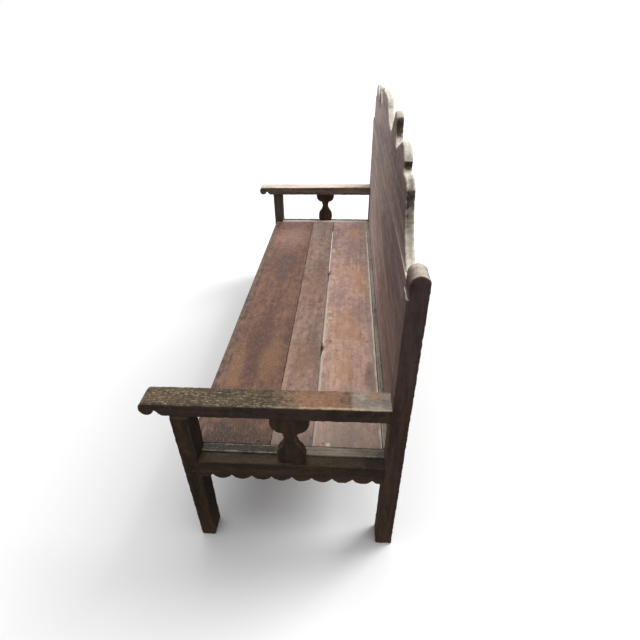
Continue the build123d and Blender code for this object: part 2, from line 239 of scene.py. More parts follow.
def arc(start, via, end, steps):
    """Points of the round stretch from start through via to end, without start."""
    (ax, ay), (bx, by), (cx, cy) = start, via, end
    twice = 2 * (ax * (by - cy) + bx * (cy - ay) + cx * (ay - by))
    a, b, c = (x * x + y * y for x, y in (start, via, end))
    middle_x = (a * (by - cy) + b * (cy - ay) + c * (ay - by)) / twice
    middle_y = (a * (cx - bx) + b * (ax - cx) + c * (bx - ax)) / twice
    radius = math.hypot(ax - middle_x, ay - middle_y)
    first = math.atan2(ay - middle_y, ax - middle_x)
    last = math.atan2(cy - middle_y, cx - middle_x)
    if twice > 0:
        sweep = (last - first) % math.tau
    else:
        sweep = -((first - last) % math.tau)
    angles = [first + sweep * (i + 1) / steps for i in range(steps)]
    return [(middle_x + radius * math.cos(t), middle_y + radius * math.sin(t)) for t in angles]


# Wear of a finished shape
def stretched(grain, share):
    """Scales of one share along the grain and of 1 across it."""
    return [share if axis == grain else 1 for axis in "XYZ"]


def sharp_edge_points(piece):
    """Points along the edges where two faces meet at an angle."""
    mesh = bmesh.new()
    mesh.from_mesh(piece.data)
    points = []
    for edge in mesh.edges:
        if len(edge.link_faces) == 2 and edge.calc_face_angle() > EDGE_ANGLE:
            count = max(1, int(edge.calc_length() / EDGE_SAMPLE))
            start, end = (corner.co for corner in edge.verts)
            points.extend(start.lerp(end, i / count) for i in range(count + 1))
    mesh.free()
    return points


def measure_edges(piece, points):
    """Keeps each point's nearness to an old edge, for the finish and for the wear."""
    tree = kdtree.KDTree(len(points))
    for i, point in enumerate(points):
        tree.insert(point, i)
    tree.balance()
    nearness = [max(0.0, 1 - tree.find(corner.co)[2] / EDGE_REACH) for corner in piece.data.vertices]
    attribute = piece.data.attributes.new("edge", "FLOAT", "POINT")
    attribute.data.foreach_set("value", nearness)
    group = piece.vertex_groups.new(name="edge")
    by_weight = {}
    for i, value in enumerate(nearness):
        by_weight.setdefault(round(value * WEIGHT_STEPS), []).append(i)
    for weight, corners in by_weight.items():
        group.add(corners, weight / WEIGHT_STEPS, "REPLACE")


def apply_modifiers(piece):
    make_active(piece)
    for name in [modifier.name for modifier in piece.modifiers]:
        bpy.ops.object.modifier_apply(modifier=name)


def roughen(piece, size, depth, stretch, seed, nicks=False):
    """Moves the surface by a soft cloud, stretched along the grain; nicks are cut inwards, only at edges."""
    deselect_all()
    bpy.ops.object.empty_add(location=(0.37 * seed, 0.61 * seed, 0.23 * seed))
    guide = bpy.context.object
    guide.scale = stretch
    bpy.context.view_layer.update()
    texture = bpy.data.textures.new("cloud", "CLOUDS")
    texture.noise_scale = size
    texture.noise_depth = 2
    modifier = piece.modifiers.new("roughen", "DISPLACE")
    modifier.texture = texture
    modifier.texture_coords = "OBJECT"
    modifier.texture_coords_object = guide
    modifier.strength = depth
    if nicks:
        texture.contrast = 3.0
        texture.intensity = 1.7
        modifier.mid_level = 1.0
        modifier.vertex_group = "edge"
    apply_modifiers(piece)
    bpy.data.objects.remove(guide)
    bpy.data.textures.remove(texture)


def weather(piece, grain, seed, sway, nick):
    """Uneven faces, raised grain and nicked edges."""
    roughen(piece, 0.11, sway, (2.5, 2.5, 2.5), seed)
    roughen(piece, 0.012, GRAIN_RIDGE, stretched(grain, CLOUD_STRETCH), seed + 1)
    roughen(piece, 0.016, nick, (1, 1, 1), seed + 2, nicks=True)
    make_active(piece)
    bpy.ops.object.shade_smooth()


def age(piece, grain, voxel, seed, rounding=0.003, sway=0.0012, nick=0.0015):
    """Turns a sharp drawn shape into old timber."""
    points = sharp_edge_points(piece)
    bevel = piece.modifiers.new("soft edges", "BEVEL")
    bevel.width = rounding
    bevel.segments = 2
    bevel.limit_method = "ANGLE"
    bevel.angle_limit = EDGE_ANGLE
    remesh = piece.modifiers.new("even mesh", "REMESH")
    remesh.mode = "VOXEL"
    remesh.voxel_size = voxel
    smooth = piece.modifiers.new("rubbed", "SMOOTH")
    smooth.factor = 0.5
    smooth.iterations = 1
    apply_modifiers(piece)
    measure_edges(piece, points)
    weather(piece, grain, seed, sway, nick)


def aged_block(name, low, high, cell, grain, seed, rounding=0.002, sway=0.0012, nick=0.001):
    """Straight plank: a rounded block cut into cells, then weathered."""
    piece = block(name, low, high)
    points = sharp_edge_points(piece)
    round_edges(piece, lambda corner: True, rounding, 2)
    cut_into_cells(piece, cell)
    measure_edges(piece, points)
    weather(piece, grain, seed, sway, nick)
    return piece


def shift_points(piece, move, axis=1):
    """Leans or twists a finished piece: every point moves along one axis by what the function gives."""
    for corner in piece.data.vertices:
        corner.co[axis] += move(corner.co)


def post_rake(height):
    return POST_RAKE * (height - POST_RAKE_FOOT_Z)


def foot_swell(place):
    return -POST_FOOT_SWELL * max(0.0, 1 - place.z / rail_low_z)


def leg_swell(height):
    foot, top = LEG_SWELL
    return foot + (top - foot) * height / arm_low_z


def rail_skew(place):
    """The front rail's face stands further out towards the right end."""
    if place.y > leg_back_y - JOINT_BURY:
        return 0.0
    return FRONT_RAIL_SKEW * (0.3 - place.x / inner_x) / 2


def back_lean(place):
    return BACK_LEAN * (place.z - seat_z) * (1 + place.x / inner_x) / 2


def arm_rise(place):
    """The top of an arm climbs towards the post."""
    along = (place.y - nose_y) / (post_front_y - nose_y)
    return ARM_RISE * max(0.0, along) * max(0.0, (place.z - arm_low_z) / (arm_top_z - arm_low_z))


ledge_y = post_front_y - 1.5 * POST_PROUD + post_rake(POST_LEDGE_Z)


def finish_piece(piece, node, slot, material):
    """Gives a piece its finish and lets it stand for its node in the frame."""
    piece.data.materials.clear()
    piece.data.materials.append(material)
    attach(piece, "root")
    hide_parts(node)


# Shader work
def paint(screen_colour):
    """A colour written as on screen, from 0 to 255, as the shader's linear colour."""
    shares = [value / 255 for value in screen_colour]
    linear = [((s + 0.055) / 1.055) ** 2.4 if s > 0.04045 else s / 12.92 for s in shares]
    return (*linear, 1.0)


class NodeNet:
    """Places and joins nodes on one shader tree."""

    def __init__(self, tree):
        self.tree = tree

    def node(self, kind, **settings):
        made = self.tree.nodes.new("ShaderNode" + kind)
        for name, value in settings.items():
            setattr(made, name, value)
        return made

    def feed(self, socket, value):
        if isinstance(value, bpy.types.NodeSocket):
            self.tree.links.new(value, socket)
        else:
            socket.default_value = value

    def in_order(self, made, *values):
        """Feeds a node's sockets in their order."""
        for socket, value in zip(made.inputs, values):
            self.feed(socket, value)
        return made.outputs

    def by_name(self, made, **values):
        """Feeds a node's sockets by their names."""
        for name, value in values.items():
            self.feed(made.inputs[name.replace("_", " ").title()], value)
        return made.outputs

    def math(self, operation, *values):
        return self.in_order(self.node("Math", operation=operation), *values)[0]

    def times(self, first, second):
        return self.math("MULTIPLY", first, second)

    def vector(self, operation, *values):
        outputs = self.in_order(self.node("VectorMath", operation=operation), *values)
        return outputs["Value" if operation in ("DOT_PRODUCT", "LENGTH") else "Vector"]

    def noise(self, vector, scale, detail=3.0, roughness=0.5, distortion=0.0):
        made = self.node("TexNoise")
        self.by_name(made, vector=vector, scale=scale, detail=detail)
        return self.by_name(made, roughness=roughness, distortion=distortion)[0]

    def spread(self, value, low, high, out_low=0.0, out_high=1.0):
        made = self.node("MapRange", interpolation_type="SMOOTHSTEP")
        return self.in_order(made, value, low, high, out_low, out_high)[0]

    def mix(self, share, first, second, blend="MIX"):
        made = self.node("Mix", data_type="RGBA", blend_type=blend)
        for number, value in ((0, share), (6, first), (7, second)):
            self.feed(made.inputs[number], value)
        return made.outputs[2]

    def mapping(self, vector, location=(0, 0, 0), rotation=(0, 0, 0), scale=(1, 1, 1)):
        made = self.node("Mapping")
        return self.by_name(made, vector=vector, location=location, rotation=rotation, scale=scale)[0]

    def group(self, tree, **values):
        return self.by_name(self.node("Group", node_tree=tree), **values)

    def relief(self, height, distance, strength=1.0):
        made = self.node("Bump")
        return self.by_name(made, height=height, distance=distance, strength=strength)[0]


VECTOR_SOCKETS = ("vector", "centre", "reach", "normal", "facing")


def node_group(*outputs):
    """Turns a function into a node group: its arguments are the inputs, and what it returns the outputs."""

    def make(fill):
        tree = bpy.data.node_groups.new(fill.__name__, "ShaderNodeTree")
        inputs = list(inspect.signature(fill).parameters)[1:]
        for name in inputs:
            kind = "NodeSocketVector" if name in VECTOR_SOCKETS else "NodeSocketFloat"
            tree.interface.new_socket(name=name.capitalize(), in_out="INPUT", socket_type=kind)
        for name in outputs:
            tree.interface.new_socket(name=name, in_out="OUTPUT", socket_type="NodeSocketFloat")
        net = NodeNet(tree)
        given = net.tree.nodes.new("NodeGroupInput").outputs
        made = fill(net, *[given[name.capitalize()] for name in inputs])
        net.in_order(net.tree.nodes.new("NodeGroupOutput"), *made)
        return tree

    return make


@node_group("Rings", "Streak", "Fibre")
def grain_pattern(net, vector):
    """Growth rings, broad streaks and fine fibres; the vector is already stretched along the grain."""
    rings = net.math("SINE", net.times(net.noise(vector, 6.0, 1.0, 0.4, 0.3), 70.0))
    streak = net.noise(vector, 45.0, 5.0, 0.62, 0.2)
    fibre = net.noise(vector, 230.0, 4.0, 0.65)
    return net.math("MULTIPLY_ADD", rings, 0.5, 0.5), streak, fibre


@node_group("Mask")
def patches(net, vector, scale, low, high):
    """Cloudy patches of stain or wear."""
    return [net.spread(net.noise(vector, scale, 6.0, 0.62, 0.15), low, high)]


@node_group("Mask")
def blotch(net, vector, centre, reach):
    """One blotch at its own place, with a ragged edge."""
    offset = net.vector("DIVIDE", net.vector("SUBTRACT", vector, centre), reach)
    ragged = net.math("SUBTRACT", net.noise(vector, 26.0, 8.0, 0.75), 0.5)
    distance = net.math("MULTIPLY_ADD", ragged, 2.6, net.vector("LENGTH", offset))
    return [net.spread(distance, 1.25, 0.2)]


@node_group("Mask")
def shade(net, vector, along, start, end):
    """Change along the piece from one place to another, broken up by a cloud."""
    ragged = net.math("SUBTRACT", net.noise(vector, 30.0, 6.0, 0.68), 0.5)
    width = net.math("ABSOLUTE", net.math("SUBTRACT", end, start))
    place = net.math("MULTIPLY_ADD", ragged, net.times(width, 1.5), along)
    return [net.spread(place, start, end)]


@node_group("Mask")
def pit_marks(net, vector, scale, size, share):
    """Small round marks, present in a share of their cells."""
    wobble = net.noise(vector, 90.0, 2.0)
    wobbled = net.vector("MULTIPLY_ADD", wobble, (0.012,) * 3, vector)
    cells = net.by_name(net.node("TexVoronoi"), vector=wobbled, scale=scale)
    split = net.in_order(net.node("SeparateColor"), cells["Color"])
    present = net.math("LESS_THAN", split[0], share)
    reach = net.times(size, net.math("ADD", split[1], 0.4))
    inside = net.spread(cells["Distance"], net.times(reach, 0.5), reach, 1.0, 0.0)
    return [net.times(inside, present)]


@node_group("Mask")
def scratch_lines(net, vector, low):
    """Thin scratches in two directions."""
    masks = []
    for turn in (0.35, -0.5):
        turned = net.mapping(vector, rotation=(0, 0, turn), scale=(9, 190, 9))
        line = net.noise(turned, 1.0, 1.0, 0.3)
        masks.append(net.spread(line, low, net.math("ADD", low, 0.05)))
    return [net.math("MAXIMUM", *masks)]


@node_group("Mask")
def rubbed_edges(net, vector, edge, amount):
    """Wear along edges, broken up so that it comes and goes."""
    coarse = net.noise(vector, 16.0, 4.0, 0.6)
    fine = net.noise(vector, 90.0, 4.0, 0.6)
    broken = net.math("MULTIPLY_ADD", coarse, 0.9, net.times(fine, 0.7))
    worn = net.math("ADD", edge, net.math("SUBTRACT", broken, 1.5))
    return [net.spread(net.math("ADD", worn, amount), 0.0, 0.45)]


@node_group("Mask", "Plain")
def faces_one_way(net, vector, normal, facing, low, high, amount):
    """Colour on what faces one way: dust, bleaching or staining, and on some pieces painted light and
    painted shade for how a face is turned to the light.
    """
    plain = net.spread(net.vector("DOT_PRODUCT", normal, facing), low, high)
    cloud = net.spread(net.noise(vector, 14.0, 6.0, 0.65), 0.25, 0.55, 0.75, 1.0)
    return net.times(net.times(plain, cloud), amount), plain


UPWARDS = (0, 0, 1)
FORWARDS = (0, -1, 0)
BACKWARDS = (0, 1, 0)
RIGHT = (1, 0, 0)
RIGHT_AND_DOWN = (0.8, 0, -0.6)
# Limits between which a face counts more and more as facing one way
SOFT = (0.35, 0.85)
WIDE = (0.1, 0.45)
STEEP = (0.6, 0.9)
GRAIN_STRETCH = 0.07
PATCH_STRETCH = 0.7
FLECK_STRETCH = 0.35
# Middle and half width of the noise that is spread from the dark to the light colour
NOISE_MIDDLE = 0.81
NOISE_HALF = 0.42
GRAIN_RELIEF = 0.0016
RUST_RELIEF = 0.0006
DARK_SPECK = (0.3, 0.28, 0.28, 1.0)
DARK_PIT = (0.22, 0.2, 0.2, 1.0)

# What a timber finish has unless it says otherwise
PLAIN_FINISH = dict(
    contrast=0.5, grain_size=1.0, mottle=0.0, stain=None, stain_share=0.5, warm=None, warm_share=0.5,
    faces=(), shades=(), shades_under_faces=False, blotches=(), marks_on_top_only=False,
    rubbed=None, rub=0.3, rub_on_top_only=False, fleck=(196, 178, 152), flecks=0.3, fleck_scale=210.0,
    specks=0.4, pits=0.5, scratches=0.3, relief=1.0,
)


def timber(name, grain, seed, dark, light, kind=PLAIN_FINISH, **finish):
    """Old timber: grain between two colours, stains, warm areas, placed marks, worn edges and flecks."""
    look = SimpleNamespace(**{**PLAIN_FINISH, **kind, **finish})
    material = bpy.data.materials.new(name)
    material.use_nodes = True
    net = NodeNet(material.node_tree)
    shader = material.node_tree.nodes["Principled BSDF"]
    place = net.node("TexCoord").outputs["Object"]
    here = net.mapping(place, location=(0.71 * seed, 0.43 * seed, 0.59 * seed))
    along = net.mapping(here, scale=[share / look.grain_size for share in stretched(grain, GRAIN_STRETCH)])
    patchy = net.mapping(here, scale=stretched(grain, PATCH_STRETCH))
    normal = net.node("NewGeometry").outputs["Normal"]

    def facing_masks(facing, limits, share):
        values = dict(facing=facing, low=limits[0], high=limits[1], amount=share)
        return net.group(faces_one_way, vector=here, normal=normal, **values)

    top = facing_masks(UPWARDS, SOFT, 1.0)["Plain"]
    edge = net.node("Attribute", attribute_name="edge").outputs["Fac"]

    timber_grain = net.group(grain_pattern, vector=along)
    rings, streak, fibre = (timber_grain[i] for i in ("Rings", "Streak", "Fibre"))
    mottle = net.noise(patchy, 38.0, 9.0, 0.68)
    grainy = net.math("MULTIPLY_ADD", rings, 0.12, streak)
    grainy = net.math("MULTIPLY_ADD", fibre, 0.5, grainy)
    mottled = net.times(mottle, 1.62)
    share = look.mottle
    blend = net.math("MULTIPLY_ADD", mottled, share, net.times(grainy, 1 - share))
    half = NOISE_HALF * (1.15 - look.contrast)
    varied = net.spread(blend, NOISE_MIDDLE - half, NOISE_MIDDLE + half)
    colour = net.mix(varied, paint(dark), paint(light))
    if look.stain:
        low = 0.62 - 0.25 * look.stain_share
        cloud = net.group(patches, vector=patchy, scale=8.0, low=low, high=low + 0.18)["Mask"]
        colour = net.mix(net.times(cloud, 0.8), colour, paint(look.stain))
    if look.warm:
        low = 0.64 - 0.25 * look.warm_share
        shifted = net.mapping(patchy, location=(3.1, 1.7, 2.3))
        cloud = net.group(patches, vector=shifted, scale=11.0, low=low, high=low + 0.2)["Mask"]
        colour = net.mix(net.times(cloud, 0.7), colour, paint(look.warm))
    axes = net.in_order(net.node("SeparateXYZ"), place)

    def on_top(mask):
        return net.times(mask, top) if look.marks_on_top_only else mask

    def shaded(colour):
        for axis, start, end, (shade_dark, shade_light), share in look.shades:
            mask = net.group(shade, vector=here, along=axes[axis], start=start, end=end)["Mask"]
            mask = on_top(net.times(mask, share))
            colour = net.mix(mask, colour, net.mix(varied, paint(shade_dark), paint(shade_light)))
        return colour

    if look.shades_under_faces:
        colour = shaded(colour)
    for facing, limits, face_dark, face_light, share in look.faces:
        mask = facing_masks(facing, limits, share)["Mask"]
        colour = net.mix(mask, colour, net.mix(varied, paint(face_dark), paint(face_light)))
    if not look.shades_under_faces:
        colour = shaded(colour)
    for centre, reach, mark_colour, share in look.blotches:
        mask = net.group(blotch, vector=place, centre=centre, reach=reach)["Mask"]
        colour = net.mix(on_top(net.times(mask, share)), colour, paint(mark_colour))
    if look.rubbed:
        mask = net.group(rubbed_edges, vector=here, edge=edge, amount=look.rub)["Mask"]
        mask = net.times(mask, 0.85)
        if look.rub_on_top_only:
            mask = net.times(mask, top)
        colour = net.mix(mask, colour, paint(look.rubbed))

    speckled = net.mapping(here, scale=stretched(grain, FLECK_STRETCH))
    speckle = net.noise(speckled, look.fleck_scale, 5.0, 0.75)
    light_specks = net.spread(speckle, 0.52, 0.68, 0.0, look.flecks)
    colour = net.mix(on_top(light_specks), colour, paint(look.fleck))
    dark_specks = net.spread(speckle, 0.47, 0.32, 0.0, look.specks)
    colour = net.mix(on_top(dark_specks), colour, DARK_SPECK, "MULTIPLY")
    pits = net.group(pit_marks, vector=here, scale=38.0, size=0.16, share=0.35 * look.pits)["Mask"]
    lines = net.group(scratch_lines, vector=here, low=0.75 - 0.08 * look.scratches)["Mask"]
    colour = net.mix(net.times(pits, 0.75), colour, DARK_PIT, "MULTIPLY")
    colour = net.mix(net.times(lines, 0.35 * look.scratches), colour, paint(look.fleck))
    rough = net.math("MULTIPLY_ADD", streak, 0.25, 0.48)

    height = net.math("MULTIPLY_ADD", streak, 0.6, net.times(fibre, 0.35))
    height = net.math("MULTIPLY_ADD", pits, -0.9, height)
    height = net.math("MULTIPLY_ADD", lines, -0.25, height)
    relief = net.relief(height, GRAIN_RELIEF * look.relief, 0.55)
    net.by_name(shader, base_color=colour, roughness=rough, normal=relief)
    shader.inputs["Specular IOR Level"].default_value = 0.25
    return material


def iron(name):
    """Rusted nail iron."""
    material = bpy.data.materials.new(name)
    material.use_nodes = True
    net = NodeNet(material.node_tree)
    shader = material.node_tree.nodes["Principled BSDF"]
    place = net.node("TexCoord").outputs["Object"]
    rust = net.group(patches, vector=place, scale=260.0, low=0.35, high=0.62)["Mask"]
    net.by_name(
        shader, base_color=net.mix(rust, paint((70, 58, 52)), paint((104, 74, 58))),
        roughness=net.spread(rust, 0.0, 1.0, 0.55, 0.85), metallic=net.spread(rust, 0.0, 1.0, 0.6, 0.0),
        normal=net.relief(rust, RUST_RELIEF),
    )
    return material


# Finishes
PURPLE = (92, 72, 75)
MAROON = (96, 66, 59)
OCHRE = (152, 114, 82)
SALMON = (204, 156, 130)
DUST = (156, 144, 132)
AMBER = (206, 152, 118)
MAUVE = (158, 132, 130)
SCRAPE = (220, 204, 162)
# Near black, for holes and dark joints and for painted shade in recesses and along the feet of parts
HOLE = (28, 22, 20)


def on_seat(x, y, length, width, colour, share, depth=0.1):
    """Mark on the seat."""
    return (x, y, seat_z), (length, width, depth), colour, share


# Painted shade in the open joint, darker where the bearers stand below it
JOINT_BREAKS = [
    on_seat(-0.228, joint_y, 0.035, 0.010, HOLE, 1.0, 0.03),
    on_seat(0.471, joint_y, 0.025, 0.010, HOLE, 1.0, 0.03),
]
SEAT_TIMBER = dict(
    stain=(100, 75, 70), warm=(158, 118, 94), rubbed=(176, 152, 132), contrast=0.6, mottle=0.55, rub=-0.1,
    flecks=0.35, specks=0.5, scratches=0.12, fleck=(200, 174, 152), pits=0.7,
)
seat_front = timber(
    "front plank timber", "X", 1, (96, 69, 57), (144, 107, 87), SEAT_TIMBER, stain_share=0.45,
    warm_share=0.4,
    blotches=[
        on_seat(-0.75, -0.15, 0.26, 0.12, (160, 128, 118), 0.5),
        on_seat(-0.33, -0.16, 0.22, 0.09, PURPLE, 0.6),
        on_seat(0.28, -0.176, 0.16, 0.05, MAROON, 0.55),
        on_seat(0.46, -0.172, 0.18, 0.055, MAROON, 0.6),
        on_seat(0.60, -0.175, 0.16, 0.045, MAROON, 0.55),
        on_seat(0.62, -0.232, 0.16, 0.03, OCHRE, 0.55),
        on_seat(0.55, -0.10, 0.16, 0.05, OCHRE, 0.5),
        on_seat(0.0, -0.07, 0.14, 0.04, OCHRE, 0.4),
        # Painted shade of the near arm on the plank's near end, with some dirt
        on_seat(1.0, -0.17, 0.13, 0.22, (74, 63, 57), 0.85),
        on_seat(0.995, -0.074, 0.006, 0.006, HOLE, 1.0, 0.02),
        on_seat(0.0, front_joint_y, 1.3, 0.003, (62, 44, 38), 0.8, 0.02),
    ],
)
seat_middle = timber(
    "middle plank timber", "X", 2, (134, 106, 95), (190, 158, 140), SEAT_TIMBER,
    # Painted light: the back edge inside the open joint is near white for the light showing through the gap
    faces=[(BACKWARDS, SOFT, (216, 206, 188), (240, 232, 216), 1.0)],
    shades=[("X", 0.0, -0.7, ((118, 96, 88), (172, 144, 132)), 0.7)], stain_share=0.35, warm_share=0.35,
    blotches=[
        on_seat(-0.90, 0.0, 0.15, 0.09, (154, 136, 126), 0.7),
        on_seat(0.97, 0.02, 0.12, 0.12, (160, 143, 131), 0.65),
        on_seat(-0.22, 0.06, 0.22, 0.05, (110, 84, 82), 0.5),
        *JOINT_BREAKS,
        on_seat(-0.03, 0.03, 0.17, 0.06, OCHRE, 0.45),
        on_seat(0.45, 0.07, 0.20, 0.04, (114, 94, 88), 0.5),
        on_seat(0.56, 0.03, 0.16, 0.06, OCHRE, 0.5),
    ],
)
seat_back = timber(
    "back plank timber", "X", 3, (173, 138, 124), (236, 198, 180), SEAT_TIMBER, stain=(146, 120, 116),
    stain_share=0.4, warm=SALMON, warm_share=0.5, specks=0.35, fleck=(224, 200, 180),
    shades=[
        ("X", -0.1, -0.65, ((140, 114, 107), (196, 165, 156)), 0.9),
        ("Y", 0.30, 0.35, (DUST, DUST), 0.75),
    ],
    blotches=[
        on_seat(-0.82, 0.25, 0.14, 0.06, AMBER, 0.5),
        on_seat(-0.17, 0.28, 0.18, 0.06, AMBER, 0.55),
        on_seat(0.30, 0.21, 0.18, 0.07, AMBER, 0.55),
        on_seat(0.60, 0.21, 0.12, 0.06, AMBER, 0.5),
        on_seat(-0.56, 0.25, 0.16, 0.06, MAUVE, 0.55),
        on_seat(0.14, 0.29, 0.14, 0.05, MAUVE, 0.55),
        on_seat(0.01, 0.18, 0.16, 0.05, MAUVE, 0.5),
        on_seat(0.66, 0.32, 0.12, 0.035, (120, 104, 98), 0.55),
        on_seat(0.97, 0.22, 0.13, 0.16, (164, 147, 135), 0.75),
        # Painted light along the open joint's near part, for the light showing through the gap
        on_seat(0.36, joint_y + 0.003, 0.62, 0.008, (226, 212, 194), 0.9, 0.02),
        on_seat(0.0, strip_front_y - 0.007, 1.8, 0.008, (240, 228, 214), 0.95, 0.02),
        on_seat(-0.53, 0.128, 0.03, 0.010, SCRAPE, 0.9, 0.02),
        on_seat(0.177, 0.135, 0.014, 0.016, SCRAPE, 1.0, 0.02),
        on_seat(0.236, 0.143, 0.014, 0.024, SCRAPE, 1.0, 0.02),
        on_seat(0.267, 0.127, 0.020, 0.010, SCRAPE, 1.0, 0.02),
        *JOINT_BREAKS,
        on_seat(1.000, 0.162, 0.009, 0.009, (232, 228, 222), 1.0, 0.02),
    ],
)
UNSEEN_BACK = (BACKWARDS, SOFT, (78, 63, 56), (122, 101, 90), 0.95)
BACK_COLOURS = ((96, 78, 74), (160, 133, 126))
BACK_TIMBER = dict(
    stain=(104, 84, 84), warm=(146, 118, 100),
    shades=[("X", 0.78, -0.5, ((182, 160, 157), (244, 223, 218)), 0.95)], shades_under_faces=True,
    faces=[UNSEEN_BACK], contrast=0.72, mottle=0.2, grain_size=1.7, stain_share=0.4, warm_share=0.5,
    flecks=0.3, specks=0.5, fleck=(186, 166, 152),
)
PALE = ((171, 164, 149), (221, 214, 198))
OLIVE = (172, 158, 141)
UMBER = (172, 147, 124)
PLUM = (122, 101, 105)
SCROLL_SHADE = ((40, 34, 31), (62, 53, 48))
crest_top_y = crest_y + 0.017
back_lower = timber(
    "lower board timber", "X", 4, *BACK_COLOURS, BACK_TIMBER,
    blotches=[
        ((0.42, crest_y, 0.70), (0.30, 0.05, 0.10), (146, 114, 98), 0.45),
        # Painted shade along the foot of the board, against the strip
        ((0.0, crest_y, seat_z), (1.4, 0.02, 0.016), (44, 35, 32), 0.85),
    ],
)
back_upper = timber(
    "upper board timber", "X", 5, *BACK_COLOURS, BACK_TIMBER,
    faces=[UNSEEN_BACK, (UPWARDS, SOFT, *PALE, 1.0)],
    blotches=[
        ((-0.20, crest_y, 0.98), (0.30, 0.05, 0.10), UMBER, 0.6),
        ((-0.14, crest_y, 0.83), (0.26, 0.05, 0.08), UMBER, 0.6),
        ((0.34, crest_y, 0.90), (0.24, 0.05, 0.10), PLUM, 0.5),
        ((0.80, crest_y, 1.03), (0.16, 0.05, 0.10), PLUM, 0.5),
    ],
)
back_crest = timber(
    "crest timber", "X", 6, *BACK_COLOURS, BACK_TIMBER,
    faces=[
        UNSEEN_BACK,
        (UPWARDS, WIDE, *PALE, 1.0),
        (RIGHT, (0.72, 0.9), *SCROLL_SHADE, 1.0),
        (RIGHT_AND_DOWN, STEEP, *SCROLL_SHADE, 1.0),
    ],
    blotches=[
        ((-0.40, crest_y, crest_base_z + 0.235), (0.10, 0.2, 0.06), (96, 84, 78), 0.9),
        ((-0.17, crest_top_y, crest_base_z + 0.283), (0.07, 0.014, 0.02), (140, 134, 126), 0.6),
        ((0.37, crest_y, crest_base_z + 0.02), (0.26, 0.012, 0.09), UMBER, 0.6),
        ((0.62, crest_y, crest_base_z + 0.13), (0.012, 0.01, 0.07), (206, 192, 184), 0.5),
        ((0.84, crest_top_y, crest_base_z + 0.185), (0.05, 0.022, 0.04), (112, 104, 99), 0.9),
        ((0.93, crest_top_y, crest_base_z + 0.07), (0.10, 0.016, 0.10), OLIVE, 0.9),
    ],
    rubbed=(222, 214, 199), rub=0.3, rub_on_top_only=True,
)
FRAME_COLOURS = ((46, 35, 27), (82, 62, 46))
FRAME_TIMBER = dict(
    stain=(46, 36, 30), warm=(104, 74, 50), faces=[(UPWARDS, SOFT, (60, 49, 38), (90, 74, 57), 0.8)],
    rubbed=(124, 100, 74), contrast=0.75, mottle=0.3, stain_share=0.4, warm_share=0.25, rub=0.05,
    flecks=0.25, specks=0.6, fleck=(128, 100, 70), relief=1.5,
)
WORN_FOOT = ("Z", 0.15, 0.01, ((72, 53, 36), (104, 78, 54)), 0.55)
DARK_BELOW = ("Z", 0.82, 0.64, ((58, 42, 33), (90, 66, 52)), 0.9)
leg_timber = timber(
    "leg timber", "Z", 7, (39, 29, 21), (68, 51, 36), FRAME_TIMBER,
    faces=[(BACKWARDS, SOFT, (30, 22, 18), (46, 35, 28), 0.9)], rub=-0.1, shades=[WORN_FOOT],
)
far_leg_timber = timber(
    "far leg timber", "Z", 18, (76, 66, 60), (108, 95, 87), FRAME_TIMBER, shades=[WORN_FOOT],
)
POST_TOP = (UPWARDS, SOFT, (140, 129, 119), (186, 175, 163), 1.0)
# Painted light: the posts' front faces are lighter, as if lit from the front
POST_FRONT = (FORWARDS, SOFT, (108, 88, 85), (140, 116, 111), 0.8)
far_post_timber = timber(
    "far post timber", "Z", 19, *FRAME_COLOURS, FRAME_TIMBER,
    faces=[POST_TOP, POST_FRONT, (RIGHT, SOFT, (116, 100, 94), (150, 132, 126), 0.9)], flecks=0.08,
    shades=[WORN_FOOT],
)
post_timber = timber(
    "post timber", "Z", 17, *FRAME_COLOURS, FRAME_TIMBER,
    faces=[POST_TOP, POST_FRONT, (RIGHT, SOFT, (76, 62, 60), (98, 80, 77), 0.9)], flecks=0.08, specks=0.3,
    rub=-0.25, shades=[DARK_BELOW, WORN_FOOT],
    blotches=[
        # Painted shade on the front face above the ledge, where the head stands back
        ((1.05, post_front_y, POST_LEDGE_Z + 0.025), (0.08, 0.03, 0.02), (48, 39, 37), 0.85),
        # Pale dust and a painted highlight along the ledge's top
        ((1.05, ledge_y, POST_LEDGE_Z), (0.10, 0.006, 0.0022), (238, 232, 224), 0.95),
    ],
)
side_rail_timber = timber(
    "side rail timber", "Y", 8, *FRAME_COLOURS, FRAME_TIMBER,
    faces=[(UPWARDS, SOFT, (47, 37, 26), (72, 58, 41), 0.9)], rub=-0.2,
    # Painted shade in the corner of the rail's top by the post
    blotches=[((1.05, 0.32, side_top_z), (0.06, 0.05, 0.02), HOLE, 0.8)],
)
SEAT_EDGE = ((92, 71, 60), (140, 112, 96))
long_rail_timber = timber(
    "long rail timber", "X", 9, *FRAME_COLOURS, FRAME_TIMBER, mottle=0.65,
    faces=[(UPWARDS, SOFT, *SEAT_EDGE, 0.95)],
)
splat_timber = timber("splat timber", "Z", 10, *FRAME_COLOURS, FRAME_TIMBER, flecks=0.12)
